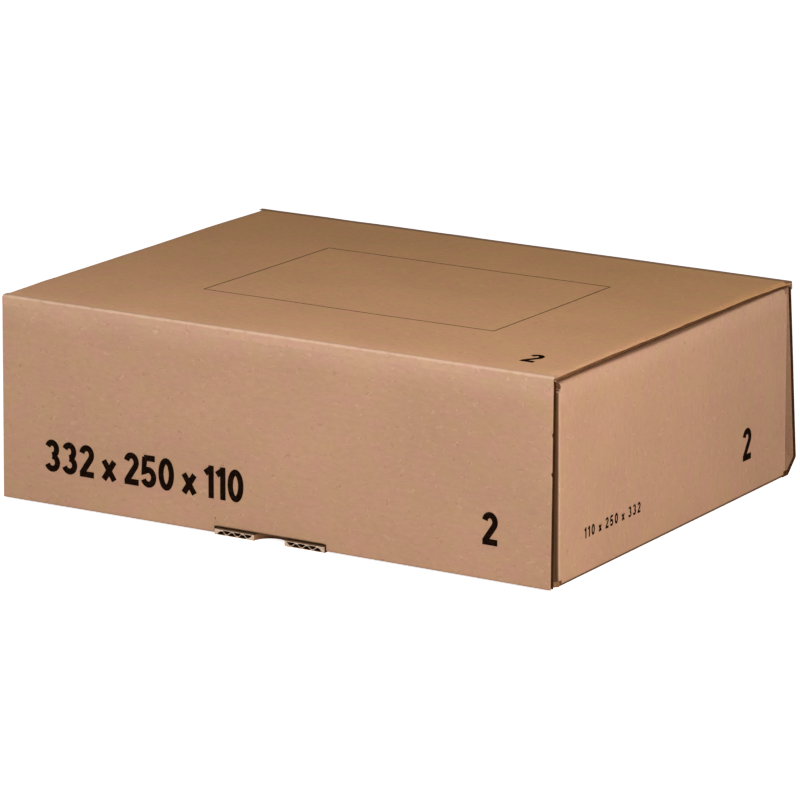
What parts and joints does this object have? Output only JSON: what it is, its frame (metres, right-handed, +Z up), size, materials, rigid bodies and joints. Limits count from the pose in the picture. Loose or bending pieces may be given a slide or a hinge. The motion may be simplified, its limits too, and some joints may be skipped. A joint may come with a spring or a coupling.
{
  "type": "corrugated mailer box",
  "caption": "Shallow corrugated mailer box with a hinged lid whose front flap tucks in at the bottom, and rolled-over side walls.",
  "frame": {"origin": "centre of the bottom panel's underside", "axes": "+X along the width, +Y from the front flap to the back wall, +Z up through the lid"},
  "size_m": [0.332, 0.259, 0.1092],
  "materials": {
    "tray_board": "matte",
    "lid_board": "matte",
    "flap_board": "matte"
  },
  "bodies": {
    "tray": {"tray": "tray_board"},
    "lid": {"lid": "lid_board"},
    "front_flap": {"front_flap": "flap_board"}
  },
  "joints": [
    {"name": "lid_hinge", "type": "hinge", "parent": "tray", "child": "lid", "pos_m": [0, 0.12298, 0.10597], "axis": [-1, 0, 0], "range_deg": [0, 180]},
    {"name": "front_flap_hinge", "type": "hinge", "parent": "lid", "child": "front_flap", "pos_m": [0, -0.12468, 0.10899], "axis": [-1, 0, 0], "range_deg": [0, 150]}
  ]
}
